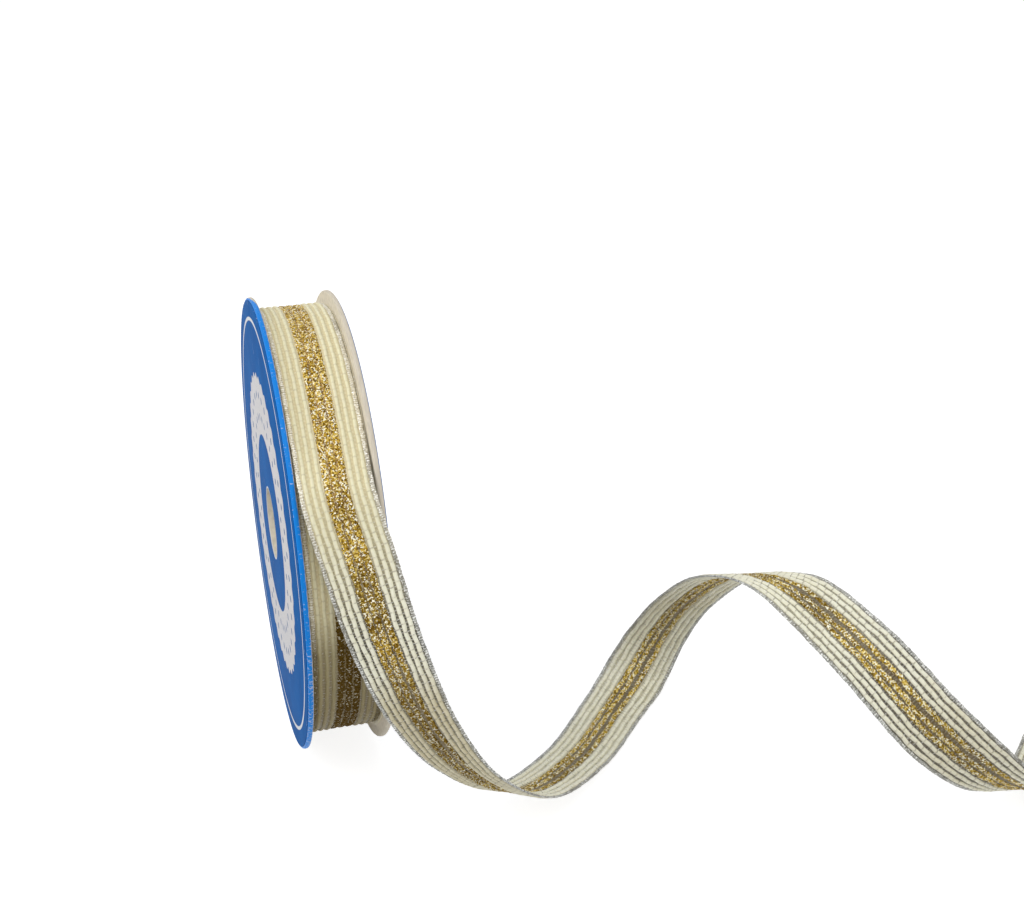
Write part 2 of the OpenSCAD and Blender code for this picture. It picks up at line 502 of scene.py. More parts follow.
@dataclass(frozen=True)
class SheerFinish:
    """Sheer ground between the yarns: tan on the roll, and on the free end a pale veil, or a net in painted
    shade, the dark seen through it painted as its colour, with painted glints where the weft crosses.
    """
    gold_half: float
    strip_w: float
    pitch: float
    hole_pitch: float = 0.66
    glint: float = 0.36
    tan: Colour = ink(222, 208, 164)
    light: Colour = ink(240, 232, 198)
    veil: Colour = ink(224, 219, 190)
    # the net in painted shade
    smoke: Colour = ink(134, 128, 110)
    # painted shade seen through the holes
    hole_shade: Colour = ink(52, 47, 38)
    brown: Colour = ink(104, 84, 36)
    # painted glint on the weft
    thread: Colour = ink(236, 234, 226)
    # painted shade under the free end and along its shaded stretches
    painted_shade: Colour = ink(112, 98, 60)
    # the near-white top is a painted glint
    band: ColourStops = ((0.0, ink(96, 66, 20)), (0.45, ink(160, 120, 52)), (0.8, ink(214, 178, 96)),
                         (1.0, ink(252, 242, 200)))
    cloud: Grain = Grain(2.5, 3.0)
    jitter: Grain = Grain(1.4)

    def material(self) -> Material:
        """Builds the ground's material."""
        paint = Paint("sheer_weft_ground")
        u, v = paint.lay()
        free = paint.mark("free")
        dusk = paint.mark("dusk")
        glint = paint.cells(self.glint)
        in_band = ((v - 0.5) * self.strip_w).size().step(self.gold_half + 0.1, self.gold_half - 0.1)
        threads = (u * (FULL_TURN / self.pitch)).wave()
        tan = paint.mix(threads * 0.4 + paint.noise(self.cloud) * 0.2, self.tan, self.light)
        # painted shade on the roll under the free end
        low = paint.mark("dim").calc("MAXIMUM", paint.mark("under") * in_band)
        # the gold band seen through the ground, with painted glints
        resting = paint.mix(in_band, tan, paint.ramp(glint, self.band))
        resting = paint.mix(low * 0.8, resting, self.painted_shade)
        # holes in the net, painted dark as the shade seen through them
        row = u * (FULL_TURN / self.hole_pitch) + paint.noise(self.jitter) * 3.0
        smoke = paint.mix(row.wave().step(0.62, 0.38), self.smoke, self.hole_shade)
        # brown in the gold band, more of it as painted shade along the shaded stretches
        smoke = paint.mix(in_band * (0.6 + 0.9 * dusk), smoke, self.brown)
        # how far painted shade, the dark seen through the net, covers the pale veil: by the stops along the
        # free end, and nearly all over in the gold band
        dark = paint.mark("smoke").calc("MAXIMUM", in_band * 0.9)
        smoke = paint.mix(dark, self.veil, smoke)
        # painted glints where the weft crosses the gaps
        spark = threads.step(0.86, 0.97) * glint.step(0.3, 0.5) * (1.0 - 0.7 * in_band)
        smoke = paint.mix(spark * 0.7, smoke, self.thread)
        base = paint.mix(free, resting, smoke)
        # painted shade along the shaded stretches of the free end
        base = paint.mix(dusk * (1.0 - in_band) * 0.6, base, self.painted_shade)
        return paint.finish(Base_Color=base, Roughness=0.55 - 0.15 * threads, Alpha=0.98 - 0.06 * free,
                            Normal=paint.bump(threads, 0.05))


@dataclass(frozen=True)
class WeftFinish:
    """Clear binding thread: painted white glints in half the gaps, painted shade on the free end where it
    presses on a yarn and in the other gaps, a pale tone on the roll, gilt over the gold.
    """
    # painted glint
    thread: Colour = ink(250, 249, 244)
    # painted shade on the free end
    painted_shade: Colour = ink(128, 124, 112)
    pressed: Colour = ink(214, 202, 160)
    gilt: Colour = ink(150, 114, 40)
    grain: Grain = Grain(1.2)

    def material(self) -> Material:
        """Builds the thread's material."""
        paint = Paint("binding_thread")
        # painted shade on the free end
        base = paint.mix(paint.mark("free"), self.pressed, self.painted_shade)
        # painted glints in the gaps
        base = paint.mix(paint.mark("glint").step(0.3, 0.8), base, self.thread)
        base = paint.mix(paint.mark("band") * 0.75, base, self.gilt)
        return paint.finish(Base_Color=base, Roughness=0.25 + 0.2 * paint.noise(self.grain))


@dataclass(frozen=True)
class WoundFinish:
    """Stacked layers of ribbon, striped like the ribbon itself, with their edges stacked on both sides."""
    half_w: float
    gold_half: float
    layers: float = 4.2
    glint: float = 0.4
    tan: Colour = ink(206, 190, 146)
    cream: Colour = ink(240, 234, 206)
    side_dark: Colour = ink(176, 164, 132)
    side_light: Colour = ink(222, 212, 182)
    side_fleck: Colour = ink(244, 242, 234)
    # the near-white top is a painted glint
    band: ColourStops = ((0.0, ink(70, 46, 12)), (0.55, ink(160, 118, 44)), (0.9, ink(236, 206, 120)),
                         (1.0, ink(255, 248, 220)))
    wander: Grain = Grain(9.0, 3.0)
    fleck: Grain = Grain(0.5, 4.0)

    def material(self) -> Material:
        """Builds the wound layers' material."""
        paint = Paint("wound_layers")
        x, y, z = paint.axes()
        layer = (paint.radius(y, z) * self.layers + paint.noise(self.wander) * 3.0).wave("SINE")
        fleck = paint.noise(self.fleck)
        sides = paint.mix(layer, self.side_dark, self.side_light)
        sides = paint.mix(fleck.step(0.56, 0.66) * 0.7, sides, self.side_fleck)
        outer = paint.mix(paint.mark("ridge"), self.tan, self.cream)
        # the gold band, with painted glints
        band = paint.ramp(paint.cells(self.glint), self.band)
        outer = paint.mix(x.size().step(self.gold_half + 0.1, self.gold_half - 0.1), outer, band)
        base = paint.mix(x.size().step(self.half_w - 0.3, self.half_w - 0.15), outer, sides)
        relief = paint.bump(layer + fleck, 0.08)
        return paint.finish(Base_Color=base, Roughness=0.5 + 0.3 * fleck, Normal=relief)


def skin(rings: int, sides: int, closed: bool = False) -> Array:
    """The faces between rings of points, by ring and side; closed joins the last ring to the first."""
    ring, side = np.meshgrid(np.arange(rings if closed else rings - 1), np.arange(sides), indexing="ij")
    next_ring, next_side = (ring + 1) % rings, (side + 1) % sides
    return np.stack([ring * sides + side, ring * sides + next_side,
                     next_ring * sides + next_side, next_ring * sides + side], -1)


def soft_step(at: Array, start: float, span: float) -> Array:
    """A soft step from 0 to 1 that begins at a start and takes a span."""
    share = np.clip((at - start) / span, 0.0, 1.0)
    return share * share * (3 - 2 * share)


def between(at: Array, stops: Stops) -> Array:
    """A value that runs straight from stop to stop."""
    return np.interp(at, *zip(*stops))


def unit(rows: Array) -> Array:
    """Each row as a direction of length 1."""
    return rows / np.linalg.norm(rows, axis=1)[:, None]


def travelled(line: Array) -> Array:
    """Distance along a line at each of its points."""
    return np.concatenate([[0], np.cumsum(np.linalg.norm(np.diff(line, axis=0), axis=1))])


@dataclass
class Shell:
    """Points, in millimetres, and faces of one mesh, with the points in a ring, its lay and its marks."""
    points: Array
    quads: Array
    ring: int
    triangles: Array = field(default_factory=lambda: np.zeros((0, 3), int))
    lay: Optional[Array] = None
    marks: Dict[str, Array] = field(default_factory=dict)

    def mark(self, **values: Array) -> None:
        """Keeps named values, one for each ring."""
        for name, value in values.items():
            self.marks[name] = np.repeat(value, self.ring)

    def raise_piece(self, name: str, material: Material, facets: bool = False) -> Object:
        """Makes the piece.

        Args:
            name: The piece's name.
            material: Its finish.
            facets: Whether its faces stay flat.

        Returns:
            The new object, at the origin.
        """
        mesh = bpy.data.meshes.new(name)
        corners = np.concatenate([self.quads.ravel(), self.triangles.ravel()]).astype(np.int32)
        counts = np.concatenate([np.full(len(self.quads), 4), np.full(len(self.triangles), 3)])
        starts = np.concatenate([[0], np.cumsum(counts)[:-1]]).astype(np.int32)
        mesh.vertices.add(len(self.points))
        mesh.vertices.foreach_set("co", (self.points * MM).astype(np.float32).ravel())
        mesh.loops.add(len(corners))
        mesh.loops.foreach_set("vertex_index", corners)
        mesh.polygons.add(len(starts))
        mesh.polygons.foreach_set("loop_start", starts)
        mesh.update(calc_edges=True)
        uv = np.zeros((len(corners), 2), np.float32)
        if self.lay is not None:
            uv[:len(self.lay)] = self.lay
        mesh.uv_layers.new(name="lay").data.foreach_set("uv", uv.ravel())
        for mark, values in self.marks.items():
            layer = mesh.attributes.new(mark, "FLOAT", "POINT")
            layer.data.foreach_set("value", values.astype(np.float32))
        mesh.polygons.foreach_set("use_smooth", np.full(len(starts), not facets))
        mesh.validate()
        mesh.materials.append(material)
        piece = bpy.data.objects.new(name, mesh)
        bpy.context.scene.collection.objects.link(piece)
        return piece


@dataclass
class Lay:
    """The ribbon's middle line in even steps, with its directions, in millimetres.

    The clear pair gives where the ribbon begins to look free past the take-off, and over what span. Two more
    pairs and the dim stops tell, from the start of the turn, how much painted shade darkens it under the free
    end.
    """
    s: Array
    at: Array
    along: Array
    across: Array
    outward: Array
    roll: float
    clear: Pair = (16.0, 38.0)
    # where painted shade under the free end comes in and goes out
    shade_in: Pair = (20.0, 20.0)
    shade_out: Pair = (125.0, 35.0)
    # painted shade under the free end, by distance along the turn
    dim: Stops = (
        (68, 0.0), (73, 0.15), (78, 0.58), (83, 0.95), (90, 1.04), (105, 1.22), (125, 1.22), (160, 0.0))

    @property
    def past(self) -> Array:
        """Distance past the take-off at each ring."""
        return self.s - self.roll

    @property
    def free(self) -> Array:
        """How far the ribbon looks clear of the roll at each ring."""
        return soft_step(self.past, *self.clear)

    def only(self, rings: Array) -> "Lay":
        """The same line at some of its rings."""
        parts = (self.s, self.at, self.along, self.across, self.outward)
        return Lay(*(part[rings] for part in parts), self.roll)

    def sweep(self, u: Array, w: Array, shares: Array, caps: Array) -> Shell:
        """Joins a ring of points at each step of the line.

        Args:
            u, w: Place of each point across the ribbon and above its middle plane, by ring and side.
            shares: The share of the way round or across at the start and the end of each side.
            caps: The triangles of the first end; the other end has the same, turned.

        Returns:
            The closed sweep, with its lay and the values that every finish reads.
        """
        rings, sides = u.shape
        points = self.at[:, None] + u[..., None] * self.across[:, None] + w[..., None] * self.outward[:, None]
        quads = skin(rings, sides)
        start, end = shares[:, quads[..., 0] % sides]
        lay = np.stack([self.s[quads // sides] / LAY_SPAN, np.stack([start, end, end, start], -1)], -1)
        ends = np.concatenate([caps, (rings - 1) * sides + caps[:, ::-1]])
        shell = Shell(points.reshape(-1, 3), quads.reshape(-1, 4), sides, ends, lay.reshape(-1, 2))
        # marks for painted shade under the free end
        under = soft_step(self.s, *self.shade_in) - soft_step(self.s, *self.shade_out)
        shell.mark(free=self.free, under=under, dim=between(self.s, self.dim))
        return shell

    def tube(self, mid: Rings, lift: Rings, wide: Rings, thick: Rings, sides: int,
             crumple: Rings = 1.0) -> Shell:
        """Sweeps a rounded yarn along the ribbon.

        Args:
            mid: Place of the yarn across the ribbon at each ring.
            lift: Its height above the ribbon's middle plane.
            wide: Its half width.
            thick: Its half thickness.
            sides: Points round a ring.
            crumple: Share of the radius at each ring and side.

        Returns:
            The closed yarn.
        """
        mid, lift, wide, thick = (np.broadcast_to(v, len(self.s))[:, None] for v in (mid, lift, wide, thick))
        start = (np.arange(sides) + 0.5) / sides
        u = mid + wide * np.cos(FULL_TURN * start) * crumple
        w = lift + thick * np.sin(FULL_TURN * start) * crumple
        j = np.arange(1, sides - 1)
        return self.sweep(u, w, np.stack([start, start + 1 / sides]), np.stack([0 * j, j + 1, j], -1))

    def strip(self, half_w: float, half_t: float, columns: int) -> Shell:
        """Sweeps a thin flat strip along the ribbon.

        Args:
            half_w: Half its width.
            half_t: Half its thickness.
            columns: Faces across it.

        Returns:
            The closed strip.
        """
        share = np.linspace(1.0, 0.0, columns + 1)
        place = np.concatenate([share, share[::-1]])
        lift = np.repeat([half_t, -half_t], columns + 1)
        shape = (len(self.s), len(place))
        top = np.arange(columns)
        low = len(place) - 1 - top
        caps = np.concatenate([np.stack([low - 1, top + 1, top], -1), np.stack([low, low - 1, top], -1)])
        u = np.broadcast_to((place - 0.5) * 2 * half_w, shape)
        return self.sweep(u, np.broadcast_to(lift, shape), np.stack([place, np.roll(place, -1)]), caps)


@dataclass
class RibbonPath:
    """Route of the ribbon's middle line: the outer turn on the roll, then the free end across the table.

    The stops give the place along the bore, the place across it, the height above the table and the swing of
    the ribbon's cross direction toward the viewer, in millimetres and degrees.
    """
    turn_r: float = 51.1
    turn_rise: float = 1.5
    take_off: float = 58.0
    loop_rings: int = 24
    overlap_rings: int = 2
    table: float = -54.0
    fine: int = 60
    blend: float = 2.0
    stops: Tuple[Tuple[float, float, float, float], ...] = (
        (0, -38, 90, 0), (0.2, -47, 83, 2), (3, -54, 70, 9), (6.5, -60, 55, 20), (13, -64, 37, 30),
        (23, -64, 21, 33), (37, -58, 8.5, 26), (54.5, -42, 2.5, 18), (69, -25, 1.5, 14), (78.5, -16, 5, 13),
        (84.5, -15.5, 16, 13), (87.5, -25, 31, 12.5), (91.5, -41, 47, 11.5), (98, -59, 54, 11),
        (108, -77, 47, 11.5), (121, -89.5, 32, 13), (137, -91.5, 17, 14), (152.5, -84, 6, 14.5),
        (166, -71, 3, 14), (176.5, -63, 9.5, 14), (185.5, -68, 19, 14), (196, -80, 19, 16),
        (208, -87, 10, 18), (222, -84, 2.6, 19), (238, -74, 1.5, 20))

    def on_roll(self, ring: Array) -> Array:
        """Place and swing at rings of the outer turn, which spirals out to the take-off."""
        back = (self.loop_rings + self.overlap_rings - ring) / self.loop_rings
        a = np.radians(self.take_off + 360.0 * back)
        r = self.turn_r - self.turn_rise * back
        return np.stack([0 * r, -r * np.cos(a), r * np.sin(a), 0 * r], -1)

    def line(self) -> Tuple[Array, float]:
        """The whole route in fine steps.

        Returns:
            Places with their swing, and the length of the part that lies on the roll.
        """
        last = self.loop_rings + self.overlap_rings
        turn = self.on_roll(np.linspace(0, last, last * self.fine + 1))
        ends = np.array(self.stops, float)
        ends[:, 2] += self.table
        near = self.on_roll(np.array([last - 1.0, last]))
        ends = np.concatenate([near, ends, [2 * ends[-1] - ends[-2]]])
        t = (np.arange(self.fine) + 1)[:, None] / self.fine
        legs = []
        for a, b, c, d in zip(ends[:-3], ends[1:-2], ends[2:-1], ends[3:]):
            legs.append(0.5 * (2 * b + (c - a) * t + (2 * a - 5 * b + 4 * c - d) * t ** 2
                               + (3 * b - a - 3 * c + d) * t ** 3))
        return np.concatenate([turn] + legs), float(travelled(turn[:, :3])[-1])

    def lay(self, step: float) -> Lay:
        """Samples the route.

        Args:
            step: Distance between rings.

        Returns:
            The middle line and its directions.
        """
        line, on_roll = self.line()
        far = travelled(line[:, :3])
        s = np.linspace(0, far[-1], int(round(far[-1] / step)) + 1)
        at = np.stack([np.interp(s, far, line[:, k]) for k in range(3)], -1)
        swing = np.radians(np.interp(s, far, line[:, 3]))
        width = max(3, int(round(self.blend / step)) | 1)
        padded = np.pad(np.gradient(at, axis=0), ((width // 2, width // 2), (0, 0)), mode="edge")
        even = np.ones(width) / width
        along = unit(np.stack([np.convolve(padded[:, k], even, "valid") for k in range(3)], -1))
        rule = np.stack([np.cos(swing), -np.sin(swing), 0 * swing], -1)
        across = unit(rule - (rule * along).sum(1)[:, None] * along)
        return Lay(s, at, along, across, np.cross(along, across), on_roll)


@dataclass(frozen=True)
class Sway:
    """A gentle wander along a yarn: about its largest reach, its wavelengths and its first seed."""
    reach: float
    waves: Tuple[float, ...]
    seed: int

    def of(self, s: Array, yarn: int) -> Array:
        """The departure of a numbered yarn at each distance."""
        phase = np.random.default_rng(self.seed + yarn).uniform(0, FULL_TURN, len(self.waves))
        swing = sum(np.sin(FULL_TURN * s / wave + p) for wave, p in zip(self.waves, phase))
        return self.reach * swing / len(self.waves) ** 0.5


def set_on(piece: Object, body: Body, slot: str, *nodes: str) -> None:
    """Sets a new piece on a body, in place of its solids."""
    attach(piece, body.value)
    if nodes:
        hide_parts(*nodes)
    LOG.info("built %s: %d faces", piece.name, len(piece.data.polygons))


@dataclass
class Ribbon:
    """The ribbon: six cream cords, three gold strands and two silver selvedges bound by a sheer weft.

    Past the take-off, one table of stops gives how far painted shade, the dark seen through the net, covers
    the ground, and two more how much painted shade darkens the gold, the cords and the ground on the free
    end's shaded stretches. The apart pair gives where the gold strands begin to part, and over what span.
    """
    path: RibbonPath = field(default_factory=RibbonPath)
    cord_w: float = 1.0
    gold_w: float = 1.3
    gold_t: float = 0.8
    edge_w: float = 0.65
    edge_t: float = 0.5
    edge_tuck: float = 0.18
    yarn_gap: float = 0.48
    ground_t: float = 0.1
    ground_columns: int = 12
    bind_pitch: float = 1.0
    bind_w: float = 0.12
    bind_depth: float = 0.07
    thread_r: float = 0.06
    thread_wander: float = 0.06
    thread_lift: float = 0.13
    thread_sink: float = 0.02
    thread_seed: int = 5
    yarn_step: float = 0.3
    thread_step: float = 0.25
    ground_step: float = 1.0
    cord_sides: int = 10
    film_sides: int = 8
    cord_lanes: Tuple[int, ...] = (1, 2, 3, 7, 8, 9)
    gold_lanes: Tuple[int, ...] = (4, 5, 6)
    gold_drift: Tuple[float, ...] = (-0.04, -0.22, 0.08)
    gold_apart: Pair = (45.0, 45.0)
    cord_swell: Sway = Sway(0.035, (3.1, 5.3, 1.7), 11)
    cord_sway: Sway = Sway(0.08, (4.3, 7.9, 13.0), 31)
    gold_sway: Sway = Sway(0.12, (9.0, 14.0, 5.0), 51)
    gold_lift: Sway = Sway(0.05, (6.0, 11.0), 61)
    edge_sway: Sway = Sway(0.04, (5.0, 8.0), 95)
    gold_crumple: Pair = (0.7, 1.2)
    gold_seed: int = 71
    edge_crumple: Pair = (0.86, 1.08)
    edge_seed: int = 91
    # painted shade seen through the net, by distance past the take-off
    smoke: Stops = (
        (30, 0.6), (55, 1.0), (68, 0.85), (85, 0.5), (105, 0.1), (150, 0.1), (170, 0.25), (215, 0.2),
        (250, 0.4), (280, 1.0), (325, 0.9), (360, 0.5))
    # painted shade on the gold, by distance past the take-off
    gold_dusk_shade: Stops = (
        (55, 0.0), (70, 0.9), (84, 0.9), (105, 0.4), (130, 0.1), (160, 0.0), (185, 0.0), (203, 0.6),
        (225, 0.0), (283, 0.0), (300, 0.4), (320, 0.0))
    # painted shade on the cords and the ground, by distance past the take-off
    cord_dusk_shade: Stops = (
        (62, 0.0), (72, 0.42), (86, 0.4), (100, 0.3), (118, 0.0), (192, 0.0), (205, 0.25), (225, 0.0),
        (283, 0.0), (300, 0.2), (325, 0.0))
    pieces: List[Object] = field(default_factory=list)

    def __post_init__(self) -> None:
        """Works out the middle of each lane, from the front edge to the rear edge."""
        wide = self.lanes(self.edge_w, self.cord_w, self.gold_w)
        self.width = wide.sum() + self.yarn_gap * (len(wide) - 1)
        self.mids = np.cumsum(wide + self.yarn_gap) - self.yarn_gap - wide / 2 - self.width / 2
        self.strip_w = self.width - self.edge_w
        self.band_half = self.mids[self.gold_lanes[-1]] + self.gold_w * 0.6

    @staticmethod
    def lanes(edge: float, cord: float, gold: float) -> Array:
        """One value for each lane."""
        return np.array([edge, *[cord] * 3, *[gold] * 3, *[cord] * 3, edge])

    def add(self, shell: Shell, name: str, finish: Material, slot: str, *nodes: str,
            facets: bool = False) -> Object:
        """Raises a piece and sets it on the ribbon in place of its solids."""
        piece = shell.raise_piece(name, finish, facets)
        set_on(piece, Body.RIBBON, slot, *nodes)
        self.pieces.append(piece)
        return piece

    def build_cords(self) -> None:
        """The cream cords, drawn in where a weft thread crosses over them."""
        lay = self.path.lay(self.yarn_step)
        finish = CordFinish().material()
        for i, lane in enumerate(self.cord_lanes):
            off = (lay.s - self.bind_pitch * (lane - 1)) % (2 * self.bind_pitch)
            bind = np.exp(-(np.minimum(off, 2 * self.bind_pitch - off) / self.bind_w) ** 2)
            half = self.cord_w / 2 * (1.0 + self.cord_swell.of(lay.s, i) - self.bind_depth * bind)
            place = self.mids[lane] + self.cord_sway.of(lay.s, i) * (0.6 + 0.4 * lay.free)
            shell = lay.tube(place, 0.0, half, 0.97 * half, self.cord_sides)
            # painted shade along the shaded stretches of the free end
            shell.mark(bind=bind, dusk=between(lay.past, self.cord_dusk_shade))
            self.add(shell, f"ribbon_cord_{i + 1}", finish, "cream", f"cream_cord_{i + 1}")

    def build_gold(self) -> None:
        """The gold strands of crumpled metal film, spread flatter where they lie on the roll."""
        lay = self.path.lay(self.yarn_step)
        finish = GOLD_FILM.material()
        apart = soft_step(lay.past, *self.gold_apart)
        for i, lane in enumerate(self.gold_lanes):
            rng = np.random.default_rng(self.gold_seed + i)
            crumple = rng.uniform(*self.gold_crumple, (len(lay.s), self.film_sides))
            place = self.mids[lane] + (self.gold_drift[i] + self.gold_sway.of(lay.s, i)) * apart
            wide = self.gold_w * (0.5 + 0.14 * (1.0 - apart))
            thick = self.gold_t * (0.5 - 0.08 * (1.0 - apart))
            shell = lay.tube(place, self.gold_lift.of(lay.s, i), wide, thick, self.film_sides, crumple)
            # painted shade along the shaded stretches of the free end
            shell.mark(free=apart, dusk=between(lay.past, self.gold_dusk_shade))
            self.add(shell, f"ribbon_gold_{i + 1}", finish, "gold", f"gold_strand_{i + 1}", facets=True)

    def build_selvedges(self) -> None:
        """The silver selvedges, a narrow flat net of metal film with a looped outer edge."""
        lay = self.path.lay(self.yarn_step)
        finish = SILVER_FILM.material()
        loops = 1.0 + 0.12 * np.sin(FULL_TURN * lay.s / self.bind_pitch)
        wide = self.edge_w * (0.66 + 0.14 * (1.0 - lay.free)) * loops
        for i, side in enumerate(Side):
            rng = np.random.default_rng(self.edge_seed + i)
            crumple = rng.uniform(*self.edge_crumple, (len(lay.s), self.film_sides))
            place = side.value * (self.mids[-1] - self.edge_tuck) + self.edge_sway.of(lay.s, i)
            shell = lay.tube(place, 0.0, wide, self.edge_t * 0.45, self.film_sides, crumple)
            name = f"ribbon_selvedge_{side.word}"
            self.add(shell, name, finish, "silver", f"silver_edge_{side.word}", facets=True)

    def build_threads(self) -> None:
        """The weft threads, over and under the yarns by turns, and above or below the ground in each gap."""
        lay = self.path.lay(self.thread_step)
        hem = self.mids[-1] + 0.4 * self.edge_w
        knots = np.sort(np.concatenate([self.mids, (self.mids[1:] + self.mids[:-1]) / 2, [-hem, hem]]))
        count, ends, sides = int(lay.s[-1] / self.bind_pitch) - 1, len(knots), 3
        order = np.arange(1, count + 1)
        lay = lay.only(np.searchsorted(lay.s, order * self.bind_pitch))
        rng = np.random.default_rng(self.thread_seed)
        wander = rng.normal(0, self.thread_wander, (count, ends))
        height = rng.choice((-self.thread_lift, self.thread_lift), (count, ends))
        # half the gap crossings carry a painted glint
        glint = (rng.uniform(size=(count, ends)) < 0.5) * 1.0
        rise = self.lanes(self.edge_t, self.cord_w, self.gold_t) / 2 - self.thread_sink
        over = np.searchsorted(knots, self.mids)
        height[:, over] = np.where((order[:, None] + np.arange(len(self.mids))) % 2 == 1, 1.0, -1.0) * rise
        glint[:, over] = 0.0
        along, across, outward = (part[:, None] for part in (lay.along, lay.across, lay.outward))
        centre = (lay.at[:, None] + knots[:, None] * across + height[..., None] * outward
                  + wander[..., None] * along)
        angle = (FULL_TURN * np.arange(sides) / sides)[:, None]
        reach = (self.thread_r * (0.3 + 0.7 * lay.free))[:, None, None]
        section = (np.cos(angle) * along + np.sin(angle) * outward) * reach
        points = centre[:, :, None] + section[:, None]
        first = np.arange(count) * ends * sides
        quads = first[:, None, None, None] + skin(ends, sides)[..., ::-1]
        last = (ends - 1) * sides
        caps = np.concatenate([first[:, None] + [0, 1, 2], first[:, None] + last + [0, 2, 1]])
        shell = Shell(points.reshape(-1, 3), quads.reshape(-1, 4), ends * sides, caps)
        shell.mark(free=lay.free)
        shell.marks["glint"] = np.repeat(glint.ravel(), sides)
        shell.marks["band"] = np.repeat(np.tile(np.abs(knots) < self.band_half, count) * 1.0, sides)
        self.add(shell, "ribbon_threads", WeftFinish().material(), "weft")

    def build_ground(self) -> Object:
        """The sheer ground that carries the yarns."""
        finish = SheerFinish(self.band_half, self.strip_w, self.bind_pitch).material()
        lay = self.path.lay(self.ground_step)
        shell = lay.strip(self.strip_w / 2, self.ground_t / 2, self.ground_columns)
        # painted shade on the free end: the dark seen through the net, and the shaded stretches
        shell.mark(smoke=between(lay.past, self.smoke), dusk=between(lay.past, self.cord_dusk_shade))
        return self.add(shell, "ribbon_ground", finish, "weft", "weft_turn", "weft_tail")

    def build(self) -> None:
        self.build_cords()
        self.build_gold()
        self.build_selvedges()
        self.build_threads()
        ground = self.build_ground()
        length = self.path.lay(self.ground_step).s[-1] * MM


def fresh() -> None:
    """Leaves nothing selected, in object mode."""
    if bpy.context.object and bpy.context.object.mode != "OBJECT":
        bpy.ops.object.mode_set(mode="OBJECT")
    bpy.ops.object.select_all(action="DESELECT")


